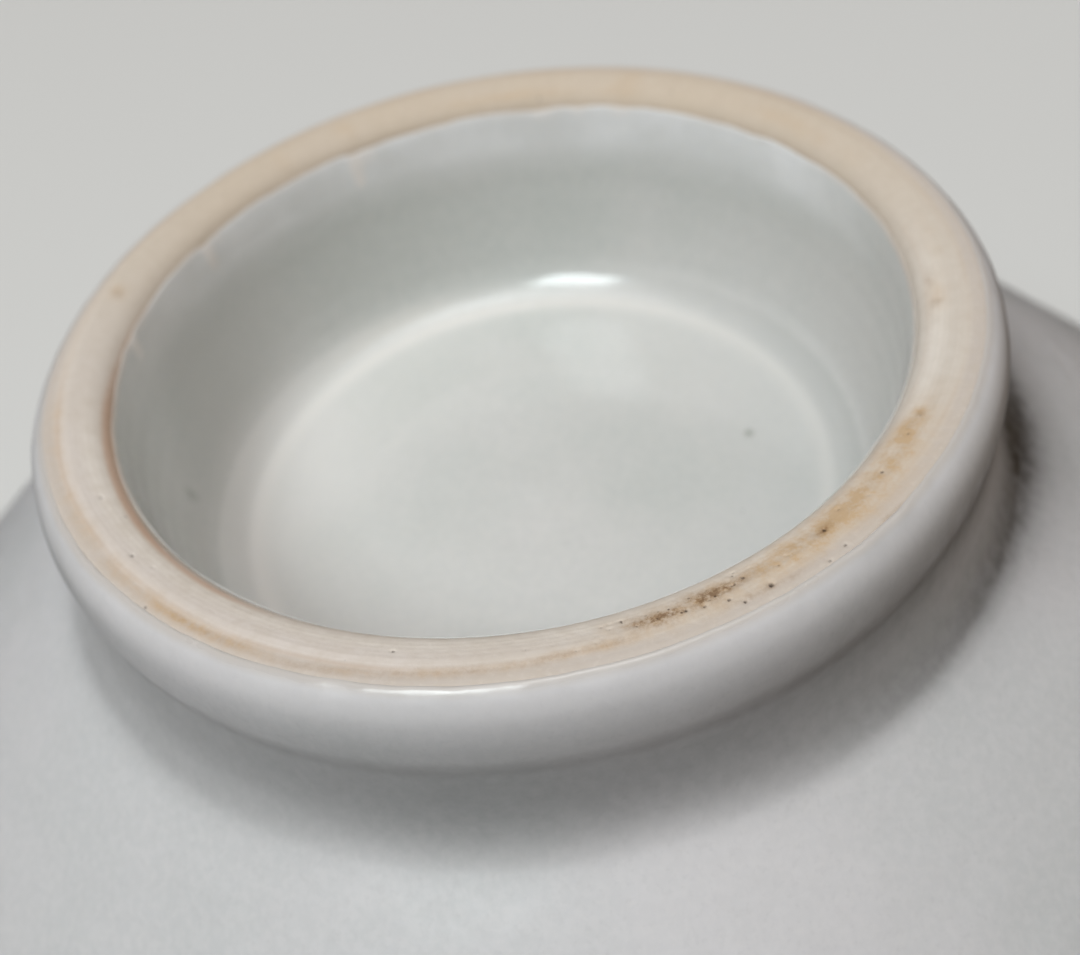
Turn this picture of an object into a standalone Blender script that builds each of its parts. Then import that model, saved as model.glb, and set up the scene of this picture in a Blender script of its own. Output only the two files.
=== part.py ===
"""Footed porcelain bowl, standing on its turned foot ring with the mouth up.

The scene is in metres, +Z up. The origin is the centre of the foot, on the
plane the bowl stands on. Every piece is turned about Z from a section drawn
in millimetres as (radius, height) points.

The fired clay is two pieces, the thrown bowl and the foot ring luted under it.
Three coats of glaze lie on it: one poured inside, one dipped outside and one
brushed into the foot well. The foot pad between the last two is bare biscuit.
"""

import math

import bmesh
import bpy

MM = 0.001                     # metres in a millimetre of the section

# ------------------------------------------------------- dimensions, in mm
FOOT_RADIUS = 33.0             # outer edge of the bare foot pad
PAD_FLAT_OUTER = FOOT_RADIUS - 0.60  # the flat the bowl stands on
PAD_FLAT_INNER = 31.2
PAD_INNER_RADIUS = 29.5        # crown of the pad's inner shoulder
PAD_INNER_RISE = 0.7           # height of that shoulder above the ground
WELL_MOUTH_RADIUS = 28.5       # where the well glaze starts
WELL_MOUTH_RISE = 2.0
WELL_FLOOR_HEIGHT = 18.8       # depth of the foot well
INSIDE_FLOOR_HEIGHT = 23.8

WALL_SLOPE = 0.955             # rise over run of the straight part of the wall
WALL_INTERCEPT = -24.0         # height of that straight line at the axis
WALL_STRAIGHT_START = 57.0     # radii between which the wall is straight
WALL_STRAIGHT_END = 73.0
WALL_BEND = 0.0064             # how fast the wall flattens towards the foot, per mm

RIM_RADIUS = 86.0
RIM_HEIGHT = 64.0
LIP_ROUND = 1.75               # radius of the rounded lip

GLAZE = 0.7                    # thickness of every coat
GAP = 0.3                      # clearance between neighbouring pieces
CLAY_DEPTH = GLAZE + GAP       # depth of the biscuit below the glazed face
JOINT_HEIGHT = 9.0             # top of the foot ring, just below the bowl

SEGMENTS = 48                  # steps round the axis


# -------------------------------------------------------- section geometry
def curve_through(stations):
    """Points of a Catmull-Rom curve through stations of (radius, height, steps),
    where steps divide the span to the next station. The last has none."""
    points = [(r, z) for r, z, _ in stations]
    # One mirrored point beyond each end sets the tangents there.
    first = tuple(2 * a - b for a, b in zip(points[0], points[1]))
    last = tuple(2 * a - b for a, b in zip(points[-1], points[-2]))
    held = [first, *points, last]
    curve = []
    for i, (_, _, steps) in enumerate(stations[:-1]):
        for k in range(steps):
            t = k / steps
            curve.append(tuple(
                0.5 * (2 * start + (end - before) * t
                       + (2 * before - 5 * start + 4 * end - after) * t ** 2
                       + (3 * start - before - 3 * end + after) * t ** 3)
                for before, start, end, after in zip(*held[i:i + 4])))
    return curve + [points[-1]]


def offset(points, distance):
    """The same line moved sideways, to the left of its direction for a
    positive distance. A point on the axis stays on the axis."""
    moved = []
    for i, (r, z) in enumerate(points):
        before = points[max(i - 1, 0)]
        after = points[min(i + 1, len(points) - 1)]
        run, rise = after[0] - before[0], after[1] - before[1]
        length = math.hypot(run, rise)
        moved_r = r - rise / length * distance if r > 0 else 0.0
        moved.append((moved_r, z + run / length * distance))
    return moved


def split_at(points, height):
    """The parts of a line before and after it first rises through a height.
    Both parts include the crossing point."""
    for i, ((r0, z0), (r1, z1)) in enumerate(zip(points, points[1:])):
        if z0 <= height < z1:
            t = (height - z0) / (z1 - z0)
            crossing = (r0 + t * (r1 - r0), height)
            return [*points[:i + 1], crossing], [crossing, *points[i + 1:]]
    raise ValueError(f"the line never rises through {height} mm")


def wall_height(radius):
    """Height of the outer wall, straight with a bend towards the foot."""
    short = max(WALL_STRAIGHT_START - radius, 0.0)
    return WALL_INTERCEPT + WALL_SLOPE * radius + WALL_BEND * short ** 2


def lip_point(degrees):
    """A point of the rounded lip, at an angle above the outward direction."""
    turn = math.radians(degrees)
    return (RIM_RADIUS - LIP_ROUND + LIP_ROUND * math.cos(turn),
            RIM_HEIGHT - LIP_ROUND + LIP_ROUND * math.sin(turn))


# ---------------------------------------------------------- glazed outlines
# Stations are (radius, height, steps to the next station).

# Outside, from the edge of the pad up to the lip's outer shoulder.
WALL_STATIONS = [              # (radius, steps), heights from wall_height
    (40.0, 1),
    (46.0, 2),
    (WALL_STRAIGHT_START, 1),
    (WALL_STRAIGHT_END, 1),
]
OUTSIDE = curve_through([
    (FOOT_RADIUS + 0.35, 0.30, 2),
    (FOOT_RADIUS + 1.30, 1.60, 2),
    (34.9, 3.9, 2),            # widest point of the rounded foot
    (34.5, 7.3, 1),            # undercut crease above the bulge
    (34.8, 9.6, 1),            # steep neck between the bulge and the cove
    (35.8, 12.4, 1),           # cove that turns the neck into the wall
    (37.5, 14.2, 1),           # start of the wall
    *[(radius, wall_height(radius), steps) for radius, steps in WALL_STATIONS],
    (80.6, 53.8, 2),
    (*lip_point(-33), 0),
])

# Inside, from the lip's inner shoulder down to the centre of the floor.
INSIDE = curve_through([
    (*lip_point(138), 2),
    (70.0, INSIDE_FLOOR_HEIGHT + 28.6, 2),
    (56.0, INSIDE_FLOOR_HEIGHT + 17.0, 2),
    (41.0, INSIDE_FLOOR_HEIGHT + 7.4, 2),
    (27.0, INSIDE_FLOOR_HEIGHT + 2.0, 2),
    (14.0, INSIDE_FLOOR_HEIGHT + 0.3, 1),
    (0.0, INSIDE_FLOOR_HEIGHT, 0),
])

# Foot well, from its mouth up to the centre of its floor.
WELL = curve_through([
    (WELL_MOUTH_RADIUS, WELL_MOUTH_RISE, 1),
    (28.2, 7.0, 1),
    (27.4, 13.0, 1),
    (26.5, 16.0, 1),
    (25.1, 18.0, 2),
    (23.1, WELL_FLOOR_HEIGHT - 0.05, 0),
][:3] + [
    (26.5, 16.0, 2),
    (25.1, 18.0, 1),
    (23.1, WELL_FLOOR_HEIGHT - 0.05, 0),  # edge of the floor
]) + [
    (15.0, WELL_FLOOR_HEIGHT),
    (0.0, WELL_FLOOR_HEIGHT),
]

# The whole glazed face in one line, up the outside, over the lip and down the
# inside. The outer coat ends at the last outer lip point, and the inner coat
# starts at the first inner one, just outboard of the lip's top.
OUTER_FACE = OUTSIDE + [lip_point(angle) for angle in (-5, 22, 46, 70)]
INNER_FACE = [lip_point(angle) for angle in (87, 112)] + INSIDE
FACE = OUTER_FACE + INNER_FACE
COAT_SPLIT = len(OUTER_FACE)

# Undersides of the coats, and the clay surfaces beneath them.
FACE_BACK = offset(FACE, GLAZE)
WELL_BACK = offset(WELL, -GLAZE)
RING_OUTSIDE, _ = split_at(offset(FACE, CLAY_DEPTH), JOINT_HEIGHT)
RING_INSIDE, _ = split_at(offset(WELL, -CLAY_DEPTH), JOINT_HEIGHT)
_, BOWL_FACE = split_at(offset(FACE, CLAY_DEPTH), JOINT_HEIGHT + GAP)
_, BOWL_WELL = split_at(offset(WELL, -CLAY_DEPTH), JOINT_HEIGHT + GAP)


# ------------------------------------------------------------------- scene
for old in list(bpy.data.objects):
    bpy.data.objects.remove(old, do_unlink=True)

parts = bpy.data.collections.new("footed_bowl")
bpy.context.scene.collection.children.link(parts)


def material(name, colour, roughness, coat=0.0):
    made = bpy.data.materials.new(name)
    made.use_nodes = True
    shader = made.node_tree.nodes["Principled BSDF"]
    shader.inputs["Base Color"].default_value = (*colour, 1.0)
    shader.inputs["Roughness"].default_value = roughness
    shader.inputs["Metallic"].default_value = 0.0
    shader.inputs["Coat Weight"].default_value = coat
    made.diffuse_color = (*colour, 1.0)
    return made


def turned(name, profile, finish, closed=False):
    """A solid of revolution about Z from points that run clockwise round its
    section. An open profile starts and ends on the axis."""
    shape = bmesh.new()
    points = [shape.verts.new((r * MM, 0.0, z * MM)) for r, z in profile]
    for start, end in zip(points, points[1:]):
        shape.edges.new((start, end))
    if closed:
        shape.edges.new((points[-1], points[0]))
    mesh = bpy.data.meshes.new(name)
    shape.to_mesh(mesh)
    shape.free()
    mesh.materials.append(finish)
    made = bpy.data.objects.new(name, mesh)
    parts.objects.link(made)
    screw = made.modifiers.new("turned", "SCREW")
    screw.axis = "Z"
    screw.angle = math.tau
    screw.steps = SEGMENTS
    screw.render_steps = SEGMENTS
    screw.use_merge_vertices = True
    screw.merge_threshold = 0.05 * MM
    screw.use_smooth_shade = True


# Thrown bowl: inside, over the lip, down the outside to the joint, then the
# seat for the foot ring and up the well to its floor.
turned(
    "bowl_body",
    BOWL_FACE[::-1] + BOWL_WELL,
    material("biscuit_clay", colour=(0.60, 0.50, 0.41), roughness=0.85),
)

# Foot ring: outside from the joint down to the pad, the flat, the inner
# shoulder, and up the inside to the joint.
turned(
    "foot_ring",
    RING_OUTSIDE[::-1] + [
        (FOOT_RADIUS - 0.42, 0.25),
        (PAD_FLAT_OUTER, 0.0),
        (PAD_FLAT_INNER, 0.0),
        (PAD_INNER_RADIUS, PAD_INNER_RISE),
        (WELL_MOUTH_RADIUS + 0.25, WELL_MOUTH_RISE - GAP),
        (WELL_MOUTH_RADIUS + CLAY_DEPTH, WELL_MOUTH_RISE + 0.2),
    ] + RING_INSIDE[1:],
    material("foot_biscuit", colour=(0.62, 0.51, 0.40), roughness=0.82),
    closed=True,
)

# Dipped coat on the outside, from the edge of the pad to the top of the lip.
turned(
    "outer_glaze",
    OUTER_FACE[::-1] + FACE_BACK[:COAT_SPLIT],
    material("outer_glaze", colour=(0.58, 0.58, 0.56), roughness=0.38, coat=0.2),
    closed=True,
)

# Poured coat on the inside, up to the lip.
turned(
    "inner_glaze",
    INNER_FACE[::-1] + FACE_BACK[COAT_SPLIT:],
    material("inner_glaze", colour=(0.60, 0.61, 0.58), roughness=0.25, coat=0.4),
)

# Brushed coat in the foot well.
turned(
    "foot_well_glaze",
    WELL_BACK[::-1] + WELL,
    material("well_glaze", colour=(0.58, 0.60, 0.57), roughness=0.25, coat=0.4),
)
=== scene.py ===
# A glazed bowl with a bare foot ring. It stands on its foot at z = 0, is turned about
# the Z axis and opens towards +Z. The camera looks up at the foot from below, from -Y.
# Outlines and surface detail are in millimetres. The scene is in metres.
# Angles run round the Z axis, from +X towards +Y.
import functools
import math

import bpy
import numpy as np
from mathutils import Matrix, Vector


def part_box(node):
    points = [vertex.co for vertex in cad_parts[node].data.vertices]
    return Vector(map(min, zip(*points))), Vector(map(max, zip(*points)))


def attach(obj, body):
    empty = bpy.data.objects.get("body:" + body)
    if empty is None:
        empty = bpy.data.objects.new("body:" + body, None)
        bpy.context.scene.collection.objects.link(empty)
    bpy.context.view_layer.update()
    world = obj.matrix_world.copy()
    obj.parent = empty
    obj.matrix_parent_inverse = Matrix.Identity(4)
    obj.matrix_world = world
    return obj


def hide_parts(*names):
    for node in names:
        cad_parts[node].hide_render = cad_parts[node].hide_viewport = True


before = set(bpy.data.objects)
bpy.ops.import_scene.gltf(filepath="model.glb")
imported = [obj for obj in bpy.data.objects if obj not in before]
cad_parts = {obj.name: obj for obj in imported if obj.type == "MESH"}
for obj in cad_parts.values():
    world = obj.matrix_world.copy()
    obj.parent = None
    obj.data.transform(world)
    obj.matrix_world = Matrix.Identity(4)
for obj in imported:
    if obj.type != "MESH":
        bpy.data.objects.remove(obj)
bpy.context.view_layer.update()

MM = 0.001

rim_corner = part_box("outer_glaze")[1]
RIM_R, RIM_H = rim_corner.x / MM, rim_corner.z / MM
LIP_R = 1.75            # radius of the rounded lip
CLAY_INSET = 0.95       # depth of the clay below the surface of the lip

OUTER_COLS, INNER_COLS, WELL_COLS, PAD_COLS, CLAY_COLS = 640, 480, 600, 1440, 192


# ---------------------------------------------------------------- noise and fading
def lattice(ix, iy, iz, seed):
    """A random value in -1..1 for each whole-numbered point."""
    mixed = (ix * 73856093) ^ (iy * 19349663) ^ (iz * 83492791) ^ (seed * 2654435761)
    mixed = (mixed ^ (mixed >> 13)) * 1274126177
    mixed = (mixed ^ (mixed >> 16)) & 0xFFFFFF
    return mixed / float(0xFFFFFF) * 2.0 - 1.0


def noise3(x, y, z, seed):
    """Smooth value noise in -1..1 at points in space."""
    cells = [np.floor(v) for v in (x, y, z)]
    parts = [v - cell for v, cell in zip((x, y, z), cells)]
    parts = [t * t * t * (t * (t * 6 - 15) + 10) for t in parts]
    cells = [cell.astype(np.int64) for cell in cells]
    total = 0.0
    for corner in np.ndindex(2, 2, 2):
        wx, wy, wz = [part if step else 1 - part for part, step in zip(parts, corner)]
        at = [cell + step for cell, step in zip(cells, corner)]
        total = total + wx * wy * wz * lattice(*at, seed)
    return total


def fractal(x, y, z, seed):
    """Three octaves of noise."""
    total, gain, scale = 0.0, 1.0, 1.0
    for k in range(3):
        total = total + gain * noise3(x * scale, y * scale, z * scale, seed + k)
        gain *= 0.5
        scale *= 2.03
    return total


def ring_noise(theta, waves, seed):
    """Noise that closes on itself round the ring, with about this many bumps."""
    k = waves / math.tau
    level = np.zeros_like(theta) + seed * 1.7
    return fractal(np.cos(theta) * k + 7.3, np.sin(theta) * k + 3.1, level, seed)


def rise(value, start, length):
    """0 up to start, then a straight climb to 1."""
    return np.clip((value - start) / length, 0, 1)


def fall(value, end, length):
    """A straight drop that reaches 0 at end."""
    return np.clip((end - value) / length, 0, 1)


def hump(value, middle, width):
    return np.exp(-((value - middle) / width) ** 2)


def degrees_from(theta, middle=0.0):
    """Angle from a middle direction, in degrees from -180 to 180."""
    return (np.degrees(theta) - middle + 180) % 360 - 180


def spot(theta, radius, spot_deg, spot_r, width):
    """A round soft spot, its width in mm."""
    turn = (theta - math.radians(spot_deg) + math.pi) % math.tau - math.pi
    return np.exp(-((turn * radius) ** 2 + (radius - spot_r) ** 2) / (2 * width ** 2))


def patch(theta, radius, deg, middle_r, spread_deg, spread_r):
    """A soft patch with its own spread round the ring and across it."""
    turn = degrees_from(theta, deg)
    return np.exp(-0.5 * ((turn / spread_deg) ** 2 + ((radius - middle_r) / spread_r) ** 2))


def bands(table, angle, level):
    """Sum of soft level bands, each held over a span of angles given by four corners."""
    return sum(strength * np.interp(angle, corners, [0.0, 1.0, 1.0, 0.0])
               * hump(level, middle, width)
               for corners, strength, middle, width in table)


# ----------------------------------------------------------------- turned surfaces
def resample(points, step_of):
    """Dense points on a smooth curve through (radius, height) points.
    step_of(radius, height) is the spacing wanted there."""
    points = np.array(points, float)
    held = np.vstack([2 * points[0] - points[1], points, 2 * points[-1] - points[-2]])
    dense = []
    for i in range(len(points) - 1):
        level = held[i:i + 4]
        # centripetal spacing keeps the curve from overshooting near short spans
        knots = [0.0]
        for start, end in zip(level, level[1:]):
            knots.append(knots[-1] + max(np.linalg.norm(end - start), 1e-6) ** 0.5)
        t = np.linspace(knots[1], knots[2], 60, endpoint=False)[:, None]

        def blend(first, last, start, end):
            whole = knots[last] - knots[first]
            return (knots[last] - t) / whole * start + (t - knots[first]) / whole * end

        for span in (1, 2):
            level = [blend(k, k + span, level[k], level[k + 1])
                     for k in range(len(level) - 1)]
        dense.append(blend(1, 2, *level))
    dense = np.vstack(dense + [points[-1:]])
    lengths = np.hypot(*np.diff(dense, axis=0).T)
    middle = 0.5 * (dense[1:] + dense[:-1])
    cost = np.r_[0, np.cumsum(lengths / step_of(middle[:, 0], middle[:, 1]))]
    at = np.linspace(0, cost[-1], int(math.ceil(cost[-1])) + 1)
    return np.c_[np.interp(at, cost, dense[:, 0]), np.interp(at, cost, dense[:, 1])]


def normals(line):
    """Unit normals to the left of a line's direction."""
    along = np.gradient(line, axis=0)
    along /= np.maximum(np.hypot(along[:, 0], along[:, 1]), 1e-9)[:, None]
    return np.c_[-along[:, 1], along[:, 0]]


def length_along(line):
    """Distance of each point from the start of a line, as a column."""
    return np.r_[0, np.cumsum(np.hypot(*np.diff(line, axis=0).T))][:, None]


def every(line, step):
    """Each step-th point of a line, and always its last."""
    kept = line[::step]
    return kept if (len(line) - 1) % step == 0 else np.vstack([kept, line[-1:]])


def angles(cols):
    return np.linspace(0, math.tau, cols, endpoint=False)


def grids(line, cols):
    """Grids of radius and height: a row for each profile point, a column for each angle."""
    return [np.repeat(line[:, k:k + 1], cols, axis=1) for k in (0, 1)]


def lathe(name, radius, height, closed=False, fields=None):
    """A turned mesh from grids of radius and height. Rows run clockwise round the section,
    so that faces point out. A closed section joins its last row to its first. Otherwise
    the first and last rows become points on the axis. fields are point attributes."""
    cols = radius.shape[1]
    theta = angles(cols)
    body = np.stack([radius * np.cos(theta), radius * np.sin(theta), height], -1) * MM
    if not closed:
        body = body[1:-1]
    verts = body.reshape(-1, 3)
    index = np.arange(len(verts)).reshape(body.shape[:2])
    here = index if closed else index[:-1]
    after = np.roll(index, -1, axis=0)[:len(here)]
    quads = np.stack([here, after, np.roll(after, -1, axis=1), np.roll(here, -1, axis=1)],
                     -1).reshape(-1, 4)
    tris = np.zeros((0, 3), int)
    if not closed:
        pole, first, last = np.full(cols, len(verts)), index[0], index[-1]
        tris = np.vstack([np.stack([pole, first, np.roll(first, -1)], -1),
                          np.stack([last, pole + 1, np.roll(last, -1)], -1)])
        verts = np.vstack([verts, [[0, 0, height[k].mean() * MM] for k in (0, -1)]])
    loops = np.concatenate([quads.ravel(), tris.ravel()]).astype(np.int32)
    starts = np.concatenate([np.arange(len(quads)) * 4,
                             len(quads) * 4 + np.arange(len(tris)) * 3]).astype(np.int32)
    mesh = bpy.data.meshes.new(name)
    mesh.vertices.add(len(verts))
    mesh.vertices.foreach_set("co", verts.astype(np.float32).ravel())
    mesh.loops.add(len(loops))
    mesh.loops.foreach_set("vertex_index", loops)
    mesh.polygons.add(len(starts))
    mesh.polygons.foreach_set("loop_start", starts)
    mesh.update(calc_edges=True)
    mesh.validate()
    mesh.shade_smooth()
    for key, grid in (fields or {}).items():
        values = grid.ravel() if closed else np.r_[grid[1:-1].ravel(), [grid[-1].mean()] * 2]
        attribute = mesh.attributes.new(key, "FLOAT", "POINT")
        attribute.data.foreach_set("value", values.astype(np.float32))
    made = bpy.data.objects.new(name, mesh)
    bpy.context.scene.collection.objects.link(made)
    return made


def out_of_round(theta, radius, height):
    """The outer edge of the foot is trimmed closer over one side, most over one stretch."""
    side = np.interp(degrees_from(theta),
                     [-180, -172, -6, 6, 22, 46, 62, 84, 112, 150, 168, 180],
                     [-0.10, 0.0, 0.0, -0.25, -0.62, -0.86, -0.74, -0.52, -0.46, -0.42,
                      -0.26, -0.10])
    return side * rise(radius, 31.0, 1.8) * fall(height, 6.0, 4.5)


def wall_height(radius):
    """Height of the outside wall: straight towards the rim, flatter near the foot."""
    short = max(57.0 - radius, 0.0)
    return -24.0 + 0.955 * radius + 0.255 * short ** 2 / 40.0


def lip_points(*degrees, inset=0.0):
    """Points round the lip, at angles up from level with its centre."""
    size = LIP_R - inset
    return [(RIM_R - LIP_R + size * math.cos(math.radians(deg)),
             RIM_H - LIP_R + size * math.sin(math.radians(deg))) for deg in degrees]


# ----------------------------------------- the outlines: (radius, height) points, mm
OUTSIDE = [
    (32.99, 0.12), (33.05, 0.05), (33.18, 0.05), (33.42, 0.18), (33.78, 0.50), (34.16, 1.00),
    (34.53, 1.70), (34.80, 2.60), (34.94, 3.50), (34.94, 4.40), (34.86, 5.25), (34.70, 6.05),
    (34.55, 6.75), (34.48, 7.35), (34.52, 8.00), (34.66, 8.90), (34.86, 9.80),
    (35.14, 10.80), (35.52, 11.80), (36.05, 12.75), (36.75, 13.60), (37.55, 14.25),
    *[(radius, wall_height(radius)) for radius in (38.6, 40.0, 44.0, 50.0, 58.0, 66.0, 73.0)],
    (80.6, 53.8), *lip_points(-33, -5, 22, 46, 70, 80),
]
INSIDE = [
    *lip_points(74, 87, 112, 138), (76.0, 57.7), (70.0, 52.4), (63.0, 46.4), (56.0, 40.8),
    (48.0, 35.2), (41.0, 31.2), (34.0, 27.9), (27.0, 25.8), (20.0, 24.6), (14.0, 24.1),
    (7.0, 23.85), (0.0, 23.8),
]
WELL = [                # the hollow inside the foot ring
    (28.75, 1.55), (28.62, 1.95), (28.50, 2.6), (28.36, 4.4), (28.18, 7.0), (27.85, 10.0),
    (27.35, 13.0), (26.95, 14.6), (26.50, 16.0), (25.85, 17.15), (25.00, 18.05),
    (24.10, 18.60), (23.20, 18.82), (22.2, 18.86), (20.0, 18.86), (16.0, 18.86),
    (10.0, 18.86), (5.0, 18.86), (0.0, 18.86),
]
PAD = [                 # the bare pad, slightly hollow towards the well
    (33.80, 6.3), (34.15, 4.2), (33.95, 2.2), (33.55, 1.0), (33.28, 0.45), (33.14, 0.14),
    (33.00, 0.04), (32.80, 0.01), (32.3, 0.0), (31.6, 0.0), (31.0, 0.09), (30.3, 0.32),
    (29.75, 0.56), (29.35, 0.86), (29.05, 1.22), (28.85, 1.65), (28.80, 2.1), (28.85, 2.8),
    (28.85, 5.0), (28.75, 9.0),
]
PAD_BACK = np.array([(28.9, 9.0), (31.5, 9.2), (33.7, 8.4)])
CLAY_OUT = [
    (33.9, 9.6), (34.3, 12.2), (35.5, 14.2), (37.2, 15.4), (40.0, 17.2), (46.0, 21.7),
    (55.0, 29.8), (73.0, 47.2), (80.0, 54.6), *lip_points(-33, 0, 45, 90, inset=CLAY_INSET),
]
CLAY_IN = [
    *lip_points(138, inset=CLAY_INSET), (70.3, 51.2), (56.5, 39.5), (41.4, 30.0),
    (27.2, 24.7), (14.0, 23.0), (0.0, 22.7),
]
CLAY_UNDER = [
    (0.0, 19.95), (15.0, 19.95), (23.5, 19.9), (25.6, 18.8), (27.2, 16.4), (28.2, 13.2),
    (28.75, 9.6),
]

# ----------------------------------------------------------------- the outer glaze
# rows of painted shade bands under the foot: four corner angles, strength, middle height, half
# height
# painted shadow of the foot ring on its -X side, on the bulge and the wall
SHADOW_SIDE_BANDS = [
    ((-206, -182, -166, -152), 0.22, 2.2, 1.3), ((-206, -184, -164, -156), 0.26, 10.2, 2.6),
    ((-206, -184, -162, -140), 0.20, 16.6, 2.2), ((-206, -184, -162, -140), 0.12, 4.4, 2.0),
]
# painted shade in the crease, on the bulge and in the neck, towards +X and -Y
CREASE_SHADE_BANDS = [
    ((-66, -48, -22, -12), 0.17, 13.3, 0.9), ((-42, -26, 4, 16), 0.24, 7.4, 0.55),
    ((-42, -26, 4, 16), 0.14, 4.2, 1.6),
]


def painted_neck_shade(theta, outside):
    """How dark the painted shade in the crease and neck under the foot is, and how much of it is
    the stronger painted shadow of the foot ring, which lies towards -X."""
    level = outside[:, 1:]
    deg = degrees_from(theta)
    turn = np.where(deg > 90, deg - 360, deg)       # -270..90, unbroken over the side of the painted shadow
    # painted shade in the crease and neck, all round
    usual = np.interp(
        level, [5.0, 6.0, 7.0, 8.0, 9.3, 10.6, 11.8, 12.6, 13.3, 13.9, 14.4],
        [0.0, 0.08, 0.26, 0.37, 0.40, 0.37, 0.30, 0.21, 0.11, 0.03, 0.0])
    # a darker painted shadow of the foot ring, for the -X side
    cast_shadow = np.interp(
        level, [0.8, 2.0, 3.2, 5.0, 6.5, 7.6, 9.0, 10.2, 11.2, 12.2, 13.2, 14.0, 14.6, 15.2,
                16.0, 17.2],
        [0.0, 0.16, 0.36, 0.52, 0.56, 0.56, 0.34, 0.30, 0.46, 0.68, 0.86, 0.78, 0.55, 0.32,
         0.13, 0.0])
    # where the painted shadow of the foot ring lies round the ring, and the +X side, where the
    # light comes from, which gets less painted shade
    shadow_side = np.interp(turn, [-222, -204, -180, -172, -150, -138, -112, -98],
                      [0.0, 0.35, 0.8, 1.0, 1.0, 0.75, 0.22, 0.0])
    light = np.interp(deg, [-72, -50, -20, 10, 60, 110, 138],
                      [0.0, 0.25, 0.60, 0.70, 0.5, 0.2, 0.0])
    # the top of the painted shadow fades out along the ring
    top_left = np.interp(turn, [-160, -140, -120], [1.0, 0.45, 0.1])
    cast_shadow = cast_shadow * (1 - (1 - top_left) * rise(level, 13.4, 1.0))
    boost = np.interp(turn, [-204, -182, -168, -155], [0.0, 0.16, 0.16, 0.0])
    cast_shadow = cast_shadow * (1 + boost * (level > 10.5))
    cast_shadow = cast_shadow + 0.10 * hump(level, 5.2, 2.4) + bands(SHADOW_SIDE_BANDS, turn, level)
    cast_shadow = np.clip(cast_shadow, 0, 0.92)
    # the painted shadow on its side of the ring, the usual painted shade elsewhere
    painted_shade = np.where(shadow_side > 0, usual * (1 - shadow_side) + cast_shadow * shadow_side, usual * (1 - light))
    painted_shade = painted_shade + bands(CREASE_SHADE_BANDS, deg, level)
    painted_shade = painted_shade * (1 + 0.10 * ring_noise(theta, 12, 71)) * (outside[:, :1] < 45)
    return painted_shade, shadow_side


def outer_glaze():
    """The outside coat, with a bead where it meets the pad."""
    outside = resample(OUTSIDE, lambda radius, height: np.where(
        height < 14, 0.22, np.where(height < 30, 0.6, np.where(height < 58, 1.1, 0.35))))
    theta = angles(OUTER_COLS)
    radius, height = grids(outside, OUTER_COLS)
    level = outside[:, 1:]
    edge = hump(level, 0.1, 0.35) * (outside[:, :1] < 34.2)
    normal = normals(outside)
    ripple = 0.035 * ring_noise(theta, 9, 11) * rise(height, 0.5, 2)
    ripple += 0.020 * fractal(radius * 0.35 * np.cos(theta), radius * 0.35 * np.sin(theta),
                              height * 0.35, 21) * rise(height, 9, 6)
    ripple += 0.012 * np.sin(level * 2.1 + 0.8 * np.sin(theta * 2)) * rise(height, 14, 10)
    radius -= normal[:, :1] * ripple
    height -= normal[:, 1:] * ripple
    radius += edge * (0.10 * ring_noise(theta, 26, 5) + 0.05 * ring_noise(theta, 140, 6))
    radius += out_of_round(theta, radius, height)
    # painted shade under the foot, and how much of it is the painted shadow of the foot ring
    painted_shade, shadow_side = painted_neck_shade(theta, outside)

    thickness = 0.45 * np.clip(length_along(outside) / 0.8, 0.12, 1)
    back_r, back_h = grids(every(outside + normal * thickness, 6), OUTER_COLS)
    back_r += out_of_round(theta, back_r, back_h)
    back_r[0] = radius[0] - 0.02
    shown = {"edge": edge + 0 * radius, "painted_shade": painted_shade, "shaded_side": shadow_side + 0 * radius}
    return lathe("outer_glaze_coat", np.vstack([radius[::-1], back_r]),
                 np.vstack([height[::-1], back_h]), closed=True,
                 fields={key: np.vstack([grid[::-1], np.zeros_like(back_r)])
                         for key, grid in shown.items()})


# ----------------------------------------------------------------- the inner glaze
def inner_glaze():
    inside = resample(INSIDE, lambda radius, height: np.where(
        height > 60, 0.35, np.where(radius < 4, 0.6, 1.0)))
    theta = angles(INNER_COLS)
    radius, height = grids(inside, INNER_COLS)
    wave = 0.030 * ring_noise(theta, 7, 31) * rise(radius, 0, 30) * fall(height, 62, 3)
    wave += 0.020 * np.sin(radius * 1.9 - theta) * rise(radius, 2, 8) * fall(height, 58, 10)
    height = height + wave * 0.8
    back_r, back_h = grids(every(inside + normals(inside) * 0.5, 5), INNER_COLS)
    return lathe("inner_glaze_coat", np.vstack([radius[::-1], back_r]),
                 np.vstack([height[::-1], back_h]))


# ------------------------------------------------------------- the foot well glaze
RUNS = [    # runs of glaze down the well wall: angle, strength, spread in degrees, length
    (13.0, 0.7, 1.1, 1.9), (37.5, 0.95, 0.9, 2.5), (40.5, 0.4, 0.8, 1.2),
    (69.5, 1.0, 0.8, 3.3), (72.0, 0.5, 1.6, 1.6), (104.0, 0.6, 2.0, 0.9),
    (110.5, 0.5, 1.3, 0.9), (118.0, 0.55, 1.8, 0.9), (150.0, 0.3, 3.0, 0.8),
    (86.0, 0.35, 2.5, 0.8),
]
WALL_SMUDGES = [    # angle, height, spread round, spread up, strength
    (2.2, 13.7, 0.42, 0.70, 0.80), (3.6, 14.6, 0.30, 0.45, 0.35),
    (-9.2, 9.7, 0.48, 0.60, 0.42), (-13.3, 5.2, 0.40, 0.50, 0.25),
    (-3.5, 12.0, 0.6, 0.5, 0.20),
]
FLOOR_SMUDGES = [   # angle, radius, width, strength
    (178.0, 17.9, 0.33, 0.75), (-2.0, 9.5, 1.3, 0.14), (150.0, 8.0, 1.6, 0.08),
    (60.0, 15.0, 0.22, 0.22),
]
ON_FLOOR = 17       # the well's floor lies above this height


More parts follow.
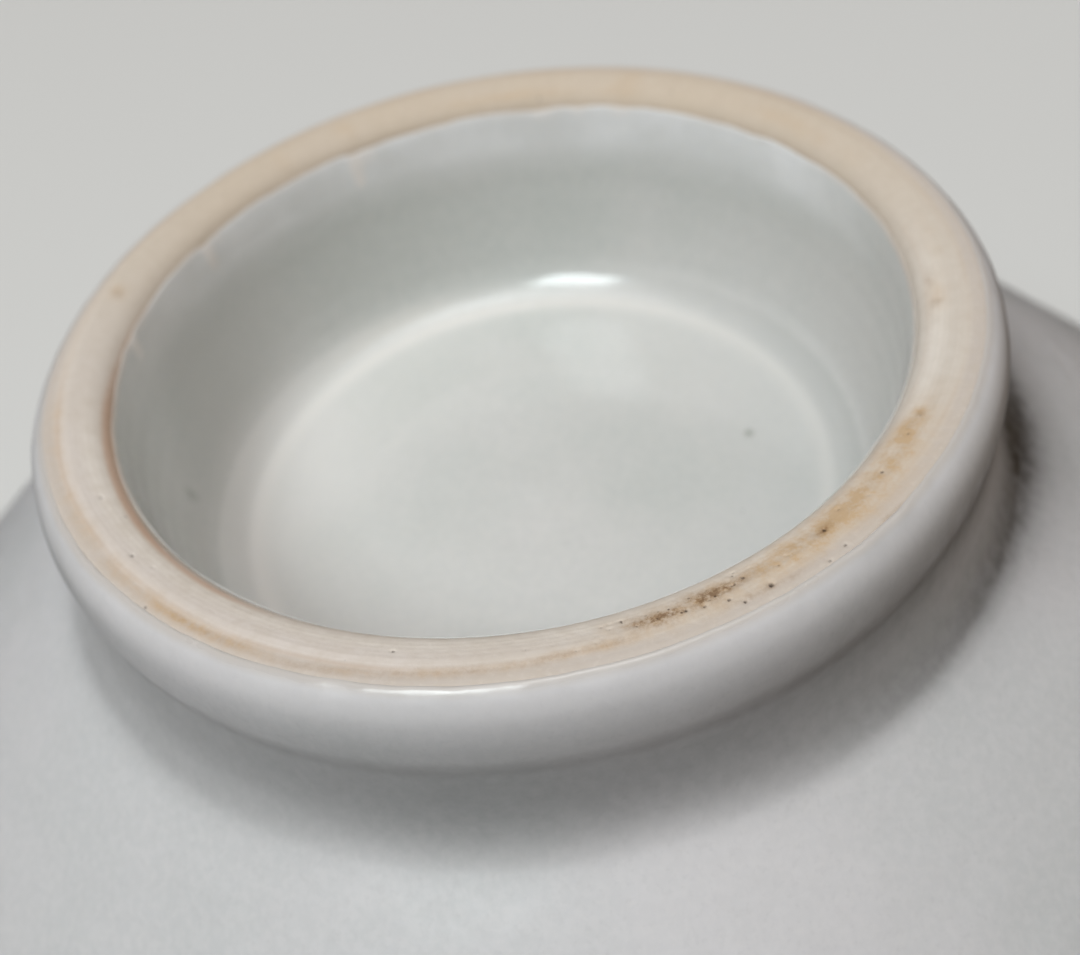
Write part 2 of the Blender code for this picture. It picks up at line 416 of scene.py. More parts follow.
def well_glaze():
    well = resample(WELL, lambda radius, height: np.where(height < 3.2, 0.12, np.where(
        (radius < 24.5) & (radius > 21.5), 0.10, np.where(radius > 24, 0.30, 0.22))))
    theta = angles(WELL_COLS)
    radius, height = grids(well, WELL_COLS)
    arc = length_along(well)

    # the floor: two turned rings, a nub at the centre, faint swirls
    x, y = radius * np.cos(theta), radius * np.sin(theta)
    from_nub = np.hypot(x - 0.4, y + 0.3)
    raised = 0.06 * hump(radius, 23.15, 0.55)
    raised += 0.012 * hump(radius, 14.0 + 0.5 * np.cos(theta - 2.2), 0.8)
    raised += 0.16 * hump(from_nub, 0, 2.0) + 0.02 * hump(from_nub, 4.2, 1.0)
    swirl = 0.0012 * np.sin(radius * 3.1 - theta) + 0.004 * np.sin(radius * 1.35 - theta + 1.0)
    swirl = swirl * rise(radius, 0, 3) + 0.03 * fractal(x * 0.12, y * 0.12, height * 0, 41)
    floor = height > ON_FLOOR
    height -= raised * floor + swirl * fall(radius, 24.0, 2) * floor

    # the wall, its runs and its uneven start at the pad
    wave = 0.03 * ring_noise(theta, 8, 43) + 0.012 * np.sin(arc * 2.6 + np.sin(theta))
    radius += wave * rise(arc, 0, 2) * (height < 17.5) * 0.8
    drip, run = 0, 0
    for deg, strength, spread, length in RUNS:
        here = strength * np.exp(-0.5 * (degrees_from(theta, deg) / spread) ** 2)
        drip = drip + here
        run = run + here / (1 + np.exp((arc - length) / 0.3))
    radius -= 0.07 * run * (height < 12)
    start = hump(arc, 0, 0.8)
    wobble = 0.16 * ring_noise(theta, 18, 44) + 0.10 * ring_noise(theta, 70, 45)
    height += start * (wobble + 0.16 * drip)
    radius -= start * 0.02

    floor = height > ON_FLOOR
    smudge = np.zeros_like(height)
    for deg, middle, spread, rise_spread, strength in WALL_SMUDGES:
        across = degrees_from(theta, deg) * math.pi / 180 * radius
        up = (height - middle) / rise_spread
        smudge += strength * np.exp(-0.5 * ((across / spread) ** 2 + up ** 2)) * (arc < 16)
    for deg, middle, width, strength in FLOOR_SMUDGES:
        smudge += strength * spot(theta, radius, deg, middle, width) * floor
    # painted shade on the well wall, strong on its +X side and slight on its -X side; on the
    # floor, darker towards -X and lighter towards +X
    on_wall = fall(height, 17.5, 3.0) * rise(arc, 0, 4.0)
    depth = on_wall * (0.55 * hump(degrees_from(theta, 14), 0, 46)
                       + 0.16 * hump(degrees_from(theta, 186), 0, 24))
    depth = depth + (1 - on_wall) * floor * rise(radius, 0, 20) * (
        0.02 - 0.40 * np.cos(theta - 0.1))
    ridge = (0.88 + 0.08 * np.cos(theta + 0.5)) * hump(radius, 23.3, 0.85) * floor
    ridge = ridge + 0.10 * hump(radius, 14.0, 0.8) * floor

    under = well - normals(well) * np.clip(arc / 0.9, 0.08, 1) * 0.5
    back_r, back_h = grids(every(under, 6), WELL_COLS)
    back_h[0] = height[0] + 0.02
    back_r[0] = radius[0] + 0.03
    hidden = np.zeros_like(back_r)
    fields = {"ridge": np.vstack([hidden, ridge]), "smudge": np.vstack([hidden, smudge]),
              "depth": np.vstack([hidden, np.clip(depth, -0.4, 1.0)]),
              "drip": np.vstack([hidden, run]),
              "arc": np.vstack([hidden + 50, arc + 0 * theta])}
    return lathe("foot_well_glaze_coat", np.vstack([back_r[::-1], radius]),
                 np.vstack([back_h[::-1], height]), fields=fields)


# ------------------------------------------------------------------- the foot ring
PITS = [    # angle, radius, half width, depth
    (-111.1, 32.16, 0.15, 0.24), (-102.2, 31.30, 0.11, 0.16), (-106.6, 31.81, 0.10, 0.14),
    (-107.8, 32.39, 0.10, 0.12), (-109.4, 30.80, 0.10, 0.12), (-108.7, 30.23, 0.09, 0.10),
    (-99.3, 31.10, 0.08, 0.10), (-104.1, 31.55, 0.09, 0.12), (-104.9, 31.25, 0.08, 0.10),
    (-93.6, 30.45, 0.08, 0.09), (-95.7, 30.38, 0.09, 0.12), (-94.6, 30.42, 0.07, 0.06),
    (-90.4, 31.83, 0.08, 0.09), (-92.6, 31.6, 0.08, 0.07), (-85.5, 31.11, 0.08, 0.07),
    (-71.6, 30.78, 0.09, 0.12), (-130.7, 30.79, 0.10, 0.12), (-119.9, 32.68, 0.10, 0.11),
    (-117.4, 32.9, 0.10, 0.10), (-120.0, 31.05, 0.12, 0.12), (-137.6, 30.6, 0.10, 0.10),
    (-22.7, 30.41, 0.12, 0.09), (-34.9, 31.02, 0.10, 0.12), (-38.4, 30.64, 0.09, 0.07),
    (-42.6, 32.95, 0.11, 0.10), (-67.0, 31.79, 0.08, 0.07), (-123.4, 30.5, 0.09, 0.09),
    (-113.2, 31.3, 0.09, 0.09), (-97.0, 31.2, 0.07, 0.09), (-100.9, 31.05, 0.07, 0.09),
    (-115.6, 31.7, 0.08, 0.08),
]
# more pits: small shallow ones all round, then a cluster
rng = np.random.default_rng(7)
for _ in range(60):
    PITS.append((rng.uniform(-180, 180), rng.uniform(29.7, 32.8),
                 rng.uniform(0.05, 0.08), rng.uniform(0.015, 0.045)))
for _ in range(34):
    PITS.append((rng.normal(-106, 8), rng.normal(31.1, 0.6),
                 rng.uniform(0.05, 0.08), rng.uniform(0.04, 0.10)))
PIT_REACH = 12      # columns worked on either side of a pit

# stains: angle, radius, spread in degrees, spread in radius, strength
BROWN = [
    (-97.6, 31.1, 1.5, 0.34, 0.42), (-99.6, 31.25, 1.5, 0.36, 0.55),
    (-102.0, 31.15, 1.3, 0.32, 0.52), (-104.4, 30.98, 1.8, 0.38, 0.62),
    (-106.6, 30.75, 1.5, 0.34, 0.50), (-103.0, 31.0, 5.0, 0.65, 0.22),
    (-109.8, 30.85, 1.8, 0.24, 0.34), (-94.8, 30.42, 1.2, 0.12, 0.5),
    (-100.5, 30.7, 3.4, 0.6, 0.20), (-108.6, 32.25, 2.4, 0.20, 0.35),
    (-113.5, 32.5, 2.8, 0.16, 0.28), (-118.0, 30.9, 3.5, 0.45, 0.20),
    (-127.0, 30.7, 3.0, 0.40, 0.18), (-120.0, 31.05, 0.8, 0.2, 0.50),
    (-140.6, 30.65, 1.0, 0.26, 0.50), (-138.4, 30.45, 0.9, 0.22, 0.32),
    (-162.3, 30.0, 0.8, 0.28, 0.60), (-167.3, 29.75, 1.3, 0.18, 0.35),
    (20.4, 30.75, 0.7, 0.30, 0.60), (21.4, 31.5, 0.5, 0.35, 0.25),
    (-126.2, 33.05, 1.6, 0.12, 0.40), (-53.0, 32.5, 2.2, 0.20, 0.30),
    (-48.0, 32.45, 2.0, 0.16, 0.26), (-30.0, 32.1, 8.0, 0.22, 0.12),
]
OCHRE = [
    (-140.3, 30.65, 1.9, 0.46, 0.85), (-138.0, 30.45, 1.8, 0.42, 0.55),
    (-134.2, 30.65, 3.0, 0.85, 0.68), (-127.0, 30.75, 3.6, 0.90, 0.66),
    (-120.2, 30.9, 3.0, 0.70, 0.70), (-115.6, 30.95, 2.8, 0.72, 0.70),
    (-129.0, 30.9, 9.5, 1.15, 0.40), (-103.0, 31.0, 6.5, 0.75, 0.50),
    (-110.0, 31.2, 7.0, 0.8, 0.25), (-53.6, 32.5, 3.2, 0.32, 0.62),
    (-48.0, 32.5, 3.0, 0.26, 0.50), (-30.0, 32.2, 12.0, 0.40, 0.30),
    (-42.0, 32.4, 6.0, 0.35, 0.28), (70.0, 30.6, 1.3, 1.0, 0.30), (58.0, 30.2, 1.0, 0.8, 0.18),
    (118.5, 30.7, 1.7, 1.0, 0.38), (103.0, 29.6, 12.0, 0.28, 0.32),
    (150.0, 30.2, 9.0, 0.5, 0.22), (-163.0, 30.0, 2.4, 0.5, 0.35),
    (-175.0, 30.6, 5.0, 0.5, 0.14), (20.6, 30.9, 1.5, 0.6, 0.30), (-8.0, 32.0, 10.0, 0.35, 0.24),
]


def foot_ring():
    pad = resample(PAD, lambda radius, height: np.where(height < 2.3, 0.085, 0.5))
    theta = angles(PAD_COLS)
    radius, height = grids(pad, PAD_COLS)
    on_pad = fall(height, 2.0, 0.6) * fall(radius, 33.3, 0.2)

    # turning lines, with two grooves, then grain and a slow wobble
    relief = 0.0022 * np.sin(radius * 11.0 + 0.6 * np.sin(theta))
    relief += 0.004 * np.sin(radius * 5.3 + 1.0 + 0.8 * np.sin(theta + 1.0))
    relief -= 0.016 * hump(radius, 31.55 + 0.12 * np.sin(theta + 0.5), 0.12)
    relief -= 0.016 * hump(radius, 32.35 + 0.1 * np.cos(theta), 0.09)
    relief += 0.010 * fractal(radius * np.cos(theta) * 2.6, radius * np.sin(theta) * 2.6,
                              height * 2.6, 51)
    relief += 0.05 * ring_noise(theta, 5, 52) * fall(radius, 31.2, 1.5)
    pits = np.zeros_like(radius)
    pit_mask = np.zeros_like(radius)
    for deg, pit_r, width, depth in PITS:
        middle = int(round((deg % 360) / 360 * PAD_COLS))
        cols = np.arange(middle - PIT_REACH, middle + PIT_REACH + 1) % PAD_COLS
        hollow = spot(theta[cols], radius[:, cols], deg, pit_r, width)
        hollow = hollow * (height[:, cols] < 1.8)
        pits[:, cols] += depth * hollow
        pit_mask[:, cols] = np.maximum(pit_mask[:, cols], hollow * min(1.0, depth / 0.12))
    height = np.maximum(height + (on_pad * relief + pits), 0.0)

    brown, ochre = [sum(strength * patch(theta, radius, *place) for *place, strength in spots)
                    for spots in (BROWN, OCHRE)]
    deg = degrees_from(theta)
    # a worn line that wanders across the pad
    worn_at = np.interp(deg, [-98, -95.8, -90.4, -83, -76, -67, -58],
                        [32.0, 32.0, 31.88, 32.2, 32.3, 32.5, 32.75])
    worn = rise(deg, -99, 4) * fall(deg, -55, 10) * hump(radius, worn_at, 0.34)
    brown += 0.30 * worn
    ochre += 0.35 * worn
    # a warm flash along the edge of the well
    strong = rise(deg, -56, 10) * fall(deg, 8, 12)
    weak = rise(deg, -60, 20) * fall(deg, 48, 25)
    flash_at = np.interp(deg, [-60, -45, -31, -20, 0, 20, 34, 60],
                         [29.5, 29.5, 29.3, 29.12, 28.95, 28.75, 28.7, 28.8])
    flash = (0.10 + 0.85 * strong + 0.30 * weak) * hump(radius, flash_at, 0.17 + 0.09 * strong)
    flash = flash * (0.9 + 0.35 * ring_noise(theta, 30, 61)) * (height < 2.4)

    radius += out_of_round(theta, radius, height)
    back_r, back_h = grids(PAD_BACK, PAD_COLS)
    back_r += out_of_round(theta, back_r, back_h)
    shown = {"stain": np.clip(brown, 0, 1.2), "ochre": np.clip(ochre, 0, 1.2),
             "flash": np.clip(flash, 0, 1), "pit": pit_mask}
    return lathe("foot_ring_biscuit", np.vstack([radius, back_r]),
                 np.vstack([height, back_h]), closed=True,
                 fields={key: np.vstack([grid, np.zeros_like(back_r)])
                         for key, grid in shown.items()})


def clay_body():
    """The clay wall of the bowl, hidden between the coats."""
    section = np.vstack([
        resample(line, lambda radius, height: np.full_like(radius, 1.5))[::-1]
        for line in (CLAY_IN, CLAY_OUT, CLAY_UNDER)])
    return lathe("bowl_body_biscuit", *grids(section, CLAY_COLS))


outer, inner, well_coat, ring, clay = (
    outer_glaze(), inner_glaze(), well_glaze(), foot_ring(), clay_body())


# ----------------------------------------------------------------------- materials
class Graph:
    """Short ways to add linked nodes to the shader tree of a material or a world."""

    def __init__(self, owner, output="ShaderNodeOutputMaterial", axes_of=None):
        owner.use_nodes = True
        self.owner = owner
        self.tree = owner.node_tree
        self.tree.nodes.clear()
        self.out = self.new(output)
        self.coord = self.new("ShaderNodeTexCoord", object=axes_of).outputs["Object"]

    def new(self, kind, **settings):
        node = self.tree.nodes.new(kind)
        for key, value in settings.items():
            setattr(node, key, value)
        return node

    def put(self, node, key, value):
        if isinstance(value, bpy.types.NodeSocket):
            self.tree.links.new(value, node.inputs[key])
        else:
            node.inputs[key].default_value = value

    def fill(self, node, values):
        for key, value in values.items():
            self.put(node, key, value)
        return node

    def math(self, op, *values):
        node = self.new("ShaderNodeMath", operation=op)
        return self.fill(node, dict(enumerate(values))).outputs[0]

    def times(self, first, second):
        return self.math("MULTIPLY", first, second)

    def vector_math(self, op, *values, **named):
        node = self.new("ShaderNodeVectorMath", operation=op)
        self.fill(node, {**dict(enumerate(values)), **named})
        return node.outputs["Value" if op == "DOT_PRODUCT" else "Vector"]

    @functools.cached_property
    def xyz(self):
        node = self.new("ShaderNodeSeparateXYZ")
        self.put(node, 0, self.coord)
        return node.outputs

    @functools.cached_property
    def radius(self):
        """Distance from the Z axis in mm."""
        x, y = self.xyz[0], self.xyz[1]
        square = self.math("ADD", self.times(x, x), self.times(y, y))
        return self.times(self.math("SQRT", square), 1000.0)

    @functools.cached_property
    def height(self):
        """Height in mm."""
        return self.times(self.xyz[2], 1000.0)

    @functools.cached_property
    def angle(self):
        return self.math("ARCTAN2", self.xyz[1], self.xyz[0])

    def attr(self, name):
        return self.new("ShaderNodeAttribute", attribute_name=name).outputs["Fac"]

    def noise(self, scale, detail=4.0, rough=0.5):
        return self.fill(self.new("ShaderNodeTexNoise"), {
            "Vector": self.coord, "Scale": scale, "Detail": detail,
            "Roughness": rough}).outputs["Fac"]

    def voronoi(self, scale):
        return self.fill(self.new("ShaderNodeTexVoronoi"), {
            "Vector": self.coord, "Scale": scale}).outputs["Distance"]

    def ramp(self, value, over, to=(0.0, 1.0), kind="SMOOTHSTEP"):
        """Carry a value from the span over to the span to, held at its ends."""
        node = self.new("ShaderNodeMapRange", interpolation_type=kind, clamp=True)
        return self.fill(node, {
            "Value": value, "From Min": over[0], "From Max": over[1],
            "To Min": to[0], "To Max": to[1]}).outputs["Result"]

    def mix(self, amount, *colours):
        node = self.new("ShaderNodeMix", data_type="RGBA")
        self.put(node, "Factor", amount)
        slots = [k for k, socket in enumerate(node.inputs) if socket.type == "RGBA"]
        for k, colour in zip(slots, colours):
            self.put(node, k, (*colour, 1.0) if isinstance(colour, tuple) else colour)
        return [socket for socket in node.outputs if socket.type == "RGBA"][0]

    def paint(self, base, layers):
        """Lay each (amount, colour) over the base in turn."""
        for amount, colour in layers:
            base = self.mix(amount, base, colour)
        return base

    def bump(self, height, distance, strength, normal=None):
        node = self.fill(self.new("ShaderNodeBump"), {
            "Height": height, "Distance": distance, "Strength": strength})
        if normal is not None:
            self.put(node, "Normal", normal)
        return node.outputs["Normal"]

    def mix_shader(self, amount, first, second):
        node = self.fill(self.new("ShaderNodeMixShader"), {0: amount, 1: first, 2: second})
        self.put(self.out, "Surface", node.outputs[0])

    def principled(self, **inputs):
        node = self.fill(self.new("ShaderNodeBsdfPrincipled"),
                         {key.replace("_", " "): v for key, v in inputs.items()})
        self.put(self.out, "Surface", node.outputs[0])
        return self.owner


def srgb(*levels):
    return tuple((v / 255 / 12.92) if v / 255 <= 0.04045 else ((v / 255 + 0.055) / 1.055) ** 2.4
                 for v in levels)


def biscuit_material():
    mat = Graph(bpy.data.materials.new("foot_biscuit_clay"))
    grain = mat.noise(scale=900, detail=5, rough=0.6)
    fine = mat.noise(scale=2600, detail=3)

    def side(op, shift, over, to=(0, 1)):
        """A part of the ring, by the sine of the angle shifted in radians."""
        return mat.ramp(mat.math("SINE", mat.math(op, mat.angle, shift)), over=over, to=to)

    def wavy_radius(scale):
        return mat.math("ADD", mat.radius, mat.times(mat.noise(scale=scale, detail=2), 0.5))

    shoulder = mat.times(mat.ramp(mat.radius, over=(31.1, 30.2), to=(0, 0.75)),
                         mat.ramp(mat.math("SINE", mat.angle), over=(0.15, -0.35)))
    wavy = wavy_radius(scale=60)
    lines = mat.math("SINE", mat.times(wavy, 17.0))
    from_groove = mat.math("ABSOLUTE", mat.math("SUBTRACT", wavy, 32.25))
    worn = mat.math("SUBTRACT", 1.0, mat.ramp(from_groove, over=(0.0, 0.32)))
    worn = mat.times(worn, mat.ramp(mat.noise(scale=90, detail=3), over=(0.40, 0.70),
                                    to=(0.05, 0.34)))
    # ochre and brown stains, broken up by coarse and fine noise
    ochre = mat.times(mat.attr("ochre"), mat.times(
        mat.ramp(mat.noise(scale=330, detail=6, rough=0.7), over=(0.30, 0.72), to=(0.25, 1.25)),
        mat.ramp(mat.noise(scale=1300, detail=5, rough=0.75), over=(0.30, 0.70),
                 to=(0.55, 1.30))))
    brown = mat.times(mat.attr("stain"), mat.times(
        mat.ramp(mat.noise(scale=420, detail=6, rough=0.72), over=(0.32, 0.66),
                 to=(0.20, 1.25)),
        mat.ramp(mat.noise(scale=1500, detail=5, rough=0.8), over=(0.34, 0.66),
                 to=(0.35, 1.45))))
    specks = mat.times(mat.ramp(mat.voronoi(scale=1500), over=(0.08, 0.17), to=(1, 0)),
                       mat.ramp(mat.attr("stain"), over=(0.25, 0.80), to=(0, 0.75)))
    rare = mat.times(mat.ramp(mat.voronoi(scale=420), over=(0.03, 0.07), to=(1, 0)),
                     mat.ramp(mat.noise(scale=210, detail=1), over=(0.54, 0.60)))
    base = mat.paint(srgb(217, 206, 194), [
        # tan side, pale side, outer edge, pale inner shoulder
        (mat.times(side("SUBTRACT", 0.2, over=(-0.25, 0.8)), 0.75), srgb(207, 188, 165)),
        (side("ADD", 2.3, over=(0.35, 1.0), to=(0, 0.55)), srgb(230, 219, 213)),
        (mat.ramp(wavy_radius(scale=70), over=(32.2, 32.75)), srgb(205, 193, 183)),
        (shoulder, srgb(236, 226, 215)),
        # clouds, grain, fine grain
        (mat.ramp(mat.noise(scale=120, detail=4, rough=0.55), over=(0.38, 0.68),
                  to=(0, 0.35)), srgb(212, 198, 184)),
        (mat.ramp(grain, over=(0.35, 0.75), to=(0.0, 0.26)), srgb(198, 182, 164)),
        (mat.ramp(fine, over=(0.50, 0.75), to=(0.0, 0.18)), srgb(232, 222, 212)),
        # turning lines, one of them worn and tan, and the flash
        (mat.ramp(lines, over=(0.2, 1.0), to=(0, 0.05)), srgb(196, 174, 152)),
        (worn, srgb(190, 162, 136)),
        (mat.times(mat.attr("flash"), 0.60), srgb(206, 160, 124)),
        # stains, the brown ones darker at heart
        (mat.ramp(ochre, over=(0.02, 0.90), to=(0, 0.66), kind="LINEAR"), srgb(199, 158, 102)),
        (mat.ramp(brown, over=(0.03, 0.90), to=(0, 0.66), kind="LINEAR"), srgb(150, 112, 68)),
        (mat.ramp(brown, over=(0.60, 1.25), to=(0, 0.50)), srgb(98, 68, 40)),
        # specks and pits
        (specks, srgb(70, 48, 32)),
        (mat.times(rare, 0.6), srgb(104, 84, 66)),
        (mat.ramp(mat.attr("pit"), over=(0.30, 0.95), to=(0, 0.92)), srgb(52, 38, 30)),
    ])
    normal = mat.bump(grain, distance=0.00006, strength=0.8)
    normal = mat.bump(fine, distance=0.00002, strength=0.7, normal=normal)
    normal = mat.bump(lines, distance=0.000004, strength=0.6, normal=normal)
    return mat.principled(Base_Color=base, Normal=normal, Specular_IOR_Level=0.35,
                          Roughness=mat.ramp(grain, over=(0.2, 0.8), to=(0.62, 0.85)))


def outside_layers(mat, thin, pool):
    """Thin near the pad, clay-coloured at its very edge, with painted shade in the crease and
    neck under the foot that goes near-black in the painted shadow on the -X side.
    """
    # near-black colour of the painted shadow, warmer on the -X side
    painted_shadow_colour = mat.mix(mat.attr("shaded_side"), srgb(22, 22, 22), srgb(30, 24, 18))
    broken = mat.ramp(mat.noise(scale=900, detail=4, rough=0.6), over=(0.3, 0.7),
                      to=(0.93, 1.07))
    return [
        (mat.ramp(mat.height, over=(3.2, 0.5), to=(0, 0.5)), thin),
        (mat.ramp(mat.height, over=(0.55, 0.02), to=(0, 0.85)), srgb(200, 191, 183)),
        # painted shade and painted shadow in the crease and neck
        (mat.times(mat.attr("painted_shade"), broken), painted_shadow_colour),
    ]


def well_layers(mat, thin, pool):
    far = mat.math("COSINE", mat.math("SUBTRACT", mat.angle, 1.55))
    mouth = mat.times(
        mat.ramp(mat.attr("arc"), over=(6.6, 1.8), to=(0, 0.9)),
        mat.ramp(mat.noise(scale=160, detail=3), over=(0.3, 0.7), to=(0.6, 1.1)))
    channel = mat.times(mat.ramp(mat.radius, over=(23.6, 24.6)),
                        mat.ramp(mat.height, over=(15.0, 17.5)))
    smudge = mat.times(mat.attr("smudge"), mat.ramp(
        mat.noise(scale=700, detail=4, rough=0.7), over=(0.32, 0.62), to=(0.35, 1.15)))
    return [
        # ridges, the edge at the pad, the mouth of the well on its +Y side, the runs
        (mat.attr("ridge"), thin),
        (mat.ramp(mat.attr("arc"), over=(0.7, 0.0), to=(0, 0.9)), srgb(222, 205, 190)),
        (mat.times(mouth, mat.ramp(far, over=(-0.15, 0.5))), srgb(247, 246, 246)),
        (mat.ramp(mat.attr("drip"), over=(0.10, 0.7), to=(0, 0.9)), srgb(250, 243, 238)),
        # the channel round the floor, painted shade on the well wall with the floor darker
        # towards -X, the floor lighter towards +X, smudges
        (mat.times(channel, 0.08), pool),
        # painted shade on the well wall, and the floor darker towards -X
        (mat.ramp(mat.attr("depth"), over=(0.0, 1.0), to=(0.0, 0.80), kind="LINEAR"),
         srgb(170, 172, 168)),
        # the floor lighter towards +X
        (mat.ramp(mat.attr("depth"), over=(0.0, -0.4), to=(0.0, 0.55), kind="LINEAR"),
         srgb(232, 230, 226)),
        (mat.ramp(smudge, over=(0.05, 0.95), to=(0, 0.72)), srgb(112, 112, 98)),
    ]


def edge_gloss(mat):
    """A glossier stretch of the bead at the pad, towards -Y."""
    arc = mat.ramp(mat.math("COSINE", mat.math("ADD", mat.angle, 1.42)), over=(0.74, 0.93))
    return mat.times(mat.ramp(mat.height, over=(0.42, 0.10), to=(0.0, -0.27)), arc)


def glaze_material(name, tint, thin, pool, rough, coat, peel, layers=None, gloss=None):
    """A celadon glaze with fine orange peel and scattered specks."""
    mat = Graph(bpy.data.materials.new(name))
    base = mat.paint(tint, [
        # clouds, pale mottling, dark mottling
        (mat.ramp(mat.noise(scale=38), over=(0.35, 0.68)), pool),
        (mat.ramp(mat.noise(scale=1500, detail=3, rough=0.6), over=(0.34, 0.70),
                  to=(0, 0.22)), thin),
        (mat.ramp(mat.noise(scale=2300, detail=2), over=(0.52, 0.74), to=(0, 0.16)),
         tuple(v * 0.74 for v in tint)),
    ])
    if layers:
        base = mat.paint(base, layers(mat, thin, pool))
    specks = mat.times(mat.ramp(mat.voronoi(scale=260), over=(0.010, 0.030), to=(1, 0)),
                       mat.ramp(mat.noise(scale=140, detail=1), over=(0.56, 0.62)))
    base = mat.mix(mat.times(specks, 0.75), base, srgb(92, 84, 74))
    normal = mat.bump(mat.noise(scale=1150, detail=3, rough=0.55), distance=0.000012,
                      strength=peel)
    normal = mat.bump(mat.noise(scale=210, detail=3), distance=0.00010,
                      strength=peel * 0.5, normal=normal)
    roughness = mat.ramp(mat.noise(scale=700, detail=3), over=(0.3, 0.7),
                         to=(rough * 0.85, rough * 1.2))
    if gloss:
        roughness = mat.math("ADD", roughness, gloss(mat))
    return mat.principled(
        Base_Color=base, Roughness=roughness, Normal=normal, IOR=1.5,
        Coat_Weight=coat, Coat_Roughness=rough * 0.4, Coat_Normal=normal,
        Subsurface_Weight=0.10, Subsurface_Radius=(0.0012, 0.0011, 0.0009),
        Subsurface_Scale=1.0)


def clay_material():
    mat = Graph(bpy.data.materials.new("body_biscuit_clay"))
    grain = mat.noise(scale=900, detail=5, rough=0.6)
    base = mat.mix(mat.ramp(grain, over=(0.3, 0.75), to=(0, 0.4)),
                   srgb(224, 208, 190), srgb(200, 180, 158))
    return mat.principled(Base_Color=base, Roughness=0.85,
                          Normal=mat.bump(grain, distance=0.00006, strength=0.8))


glossy = dict(tint=srgb(215, 213, 210), thin=srgb(231, 227, 222), pool=srgb(201, 203, 199),
              coat=0.5, peel=0.5)
outer_paint = glaze_material(
    "outer_celadon_glaze", tint=srgb(213, 210, 211), thin=srgb(227, 223, 223),
    pool=srgb(202, 202, 202), rough=0.42, coat=0.15, peel=0.9, layers=outside_layers,
    gloss=edge_gloss)
inner_paint = glaze_material("inner_celadon_glaze", rough=0.22, **glossy)
well_paint = glaze_material("well_celadon_glaze", rough=0.20, layers=well_layers, **glossy)

for piece, paint, node, slot in (
        (outer, outer_paint, "outer_glaze", "outer_glaze"),
        (inner, inner_paint, "inner_glaze", "inner_glaze"),
        (well_coat, well_paint, "foot_well_glaze", "well_glaze"),
        (ring, biscuit_material(), "foot_ring", "foot_biscuit"),
        (clay, clay_material(), "bowl_body", "biscuit")):
    piece.data.materials.append(paint)
    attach(piece, "root")
    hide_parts(node)

# -------------------------------------------------------------------------- camera
CAMERA_AT = Vector((0.0, -74.67801, -56.81247)) * MM
CAMERA_RIGHT = Vector((-0.97994, -0.14367, 0.13810))
CAMERA_BACK = Vector((0.00323, -0.70436, -0.70983))     # from the bowl to the viewer

scene = bpy.context.scene


def add_object(name, data=None):
    made = bpy.data.objects.new(name, data)
    scene.collection.objects.link(made)
    return made


cam_data = bpy.data.cameras.new("camera")
cam = add_object("camera", cam_data)
cam_data.sensor_width = 36.0
cam_data.lens = 43.333333
back = CAMERA_BACK.normalized()
up = back.cross(CAMERA_RIGHT.normalized()).normalized()
right = up.cross(back).normalized()
cam.matrix_world = Matrix((*zip(right, up, back, CAMERA_AT), (0, 0, 0, 1)))
cam_data.clip_start, cam_data.clip_end = 0.005, 20.0
# sharp on the near side of the foot, a little soft at the far side
focus = add_object("focus")
focus.location = (0.0, -32.0 * MM, 1.0 * MM)
cam_data.dof.use_dof = True
cam_data.dof.focus_object = focus
cam_data.dof.aperture_fstop = 30.0
scene.camera = cam

# --------------------------------------------------------------------------- stage
STAGE_HALF = 4.0        # m
STAGE_GAP = 0.0002      # m, clear of the bowl
STAGE_COLOUR = (0.70, 0.69, 0.67)


def stage_plane(name, height, facing_up):
    """A floor seen only from its own side: a camera on the other side looks through it."""
    corners = [(x * STAGE_HALF, y * STAGE_HALF, height)
               for x, y in ((-1, -1), (1, -1), (1, 1), (-1, 1))]
    mesh = bpy.data.meshes.new(name)
    mesh.from_pydata(corners if facing_up else corners[::-1], [], [(0, 1, 2, 3)])
    made = add_object(name, mesh)
    mat = Graph(bpy.data.materials.new(name + "_paint"))
    shade = mat.new("ShaderNodeBsdfDiffuse")
    clouds = mat.ramp(mat.noise(scale=3, detail=2), over=(0.3, 0.7), to=(0, 0.05))
    mat.put(shade, "Color", mat.mix(clouds, STAGE_COLOUR, tuple(v * 0.9 for v in STAGE_COLOUR)))
    clear = mat.new("ShaderNodeBsdfTransparent")
    mat.mix_shader(mat.new("ShaderNodeNewGeometry").outputs["Backfacing"],
                   shade.outputs[0], clear.outputs[0])
    mesh.materials.append(mat.owner)
    made.visible_diffuse = made.visible_glossy = False
    made.visible_transmission = made.visible_shadow = False


stage_plane("floor", -STAGE_GAP, facing_up=True)
stage_plane("floor_under_rim", rim_corner.z + STAGE_GAP, facing_up=False)

# -------------------------------------------------------------------------- lights
# The rig hangs on the camera, so that the light turns with the view.
rig = add_object("light_rig")
rig.parent = cam
to_camera = cam.matrix_world.to_3x3().transposed()

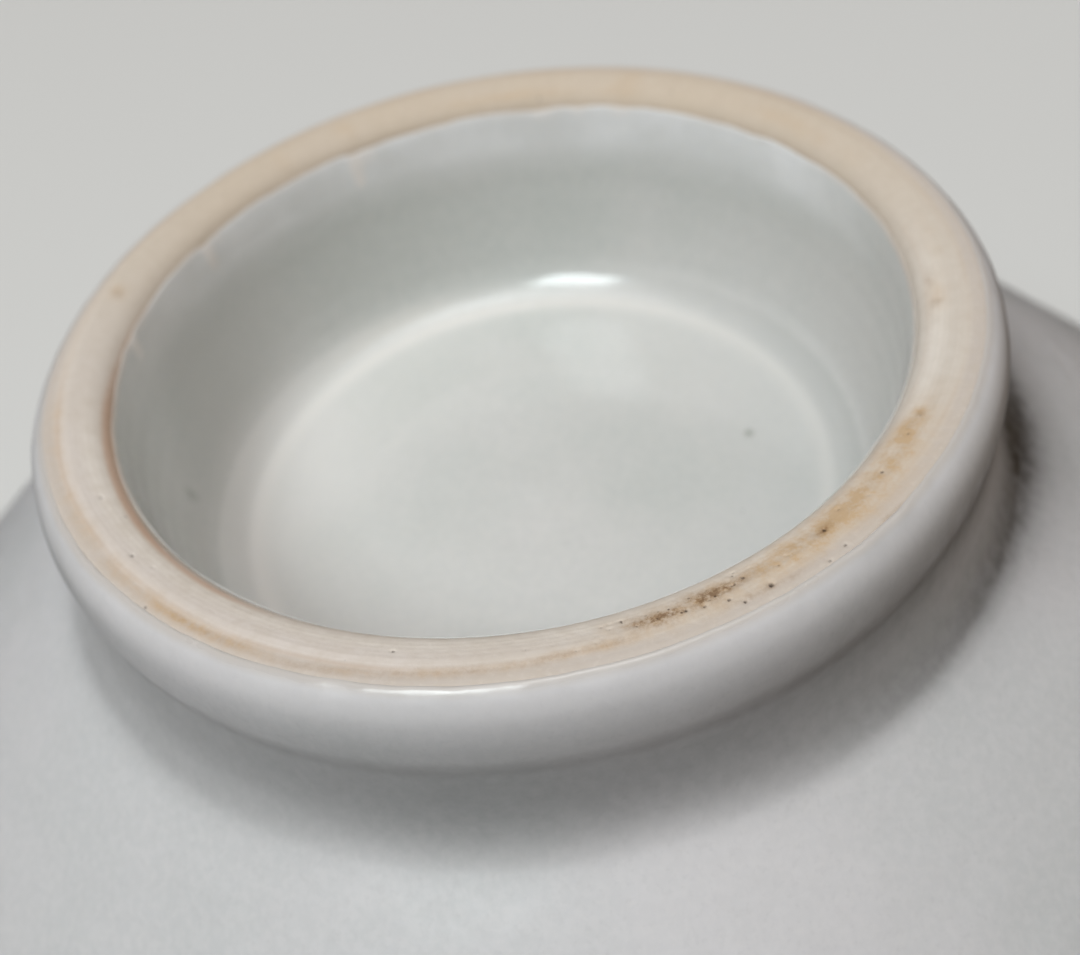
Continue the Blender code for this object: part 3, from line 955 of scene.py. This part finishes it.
# soft lobes of surrounding light: tilt from -Z, turn about Z, sharpness, colour
LOBES = [
    (0, 0, 30, (4.22, 4.34, 4.44)),
    (32, -30, 30, (0.12, 0.06, 0.06)),
    (32, -150, 30, (0.56, 0.34, 0.14)),
    (62, 180, 12, (0.06, 0.10, 0.16)),
    (62, 0, 12, (0.16, 0.14, 0.13)),
    (92, 180, 8, (0.20, 0.13, 0.05)),
    (92, 0, 8, (0.31, 0.28, 0.26)),
]
AMBIENT = (0.0, 0.0, 0.0)
BACKDROP = (0.80, 0.79, 0.77)       # what the camera itself sees


def build_world():
    scene.world = bpy.data.worlds.new("studio")
    world = Graph(scene.world, "ShaderNodeOutputWorld", axes_of=rig)
    unit = world.vector_math("NORMALIZE", world.coord)
    total = None
    for tilt, turn, sharpness, colour in LOBES:
        t, p = math.radians(tilt), math.radians(turn)
        away = Vector((math.sin(t) * math.cos(p), math.sin(t) * math.sin(p), -math.cos(t)))
        cosine = world.vector_math("DOT_PRODUCT", unit, (to_camera @ away).normalized())
        # (1 + cosine) / 2 to a power gives a smooth lobe
        half = world.math("MULTIPLY_ADD", cosine, 0.5, 0.5)
        lobe = world.vector_math("SCALE", colour, Scale=world.math("POWER", half, sharpness))
        total = world.vector_math("ADD", total, lobe) if total else lobe
    lit, seen = world.new("ShaderNodeBackground"), world.new("ShaderNodeBackground")
    world.put(lit, "Color", world.vector_math("ADD", total, AMBIENT))
    world.put(seen, "Color", (*BACKDROP, 1.0))
    world.mix_shader(world.new("ShaderNodeLightPath").outputs["Is Camera Ray"],
                     lit.outputs[0], seen.outputs[0])


build_world()

# a soft window behind the viewer's left shoulder, for the highlights on the glaze
WINDOW_AWAY = 1.1       # m from just above the foot's centre
window_data = bpy.data.lights.new("window", "AREA")
window_data.shape = "RECTANGLE"
window_data.size = window_data.size_y = 0.38
window_data.energy = 5.2
window_data.color = (0.90, 1.0, 1.02)
window = add_object("window", window_data)
towards = to_camera @ Vector((0.34, -0.48, -0.81)).normalized()
window.parent = rig
window.location = cam.matrix_world.inverted() @ Vector((0, 0, 0.01)) + towards * WINDOW_AWAY
window.rotation_mode = "QUATERNION"
window.rotation_quaternion = towards.to_track_quat("Z", "Y")

scene.view_settings.view_transform = "Standard"
scene.view_settings.look = "None"
scene.view_settings.exposure = 0.0
scene.view_settings.gamma = 1.0
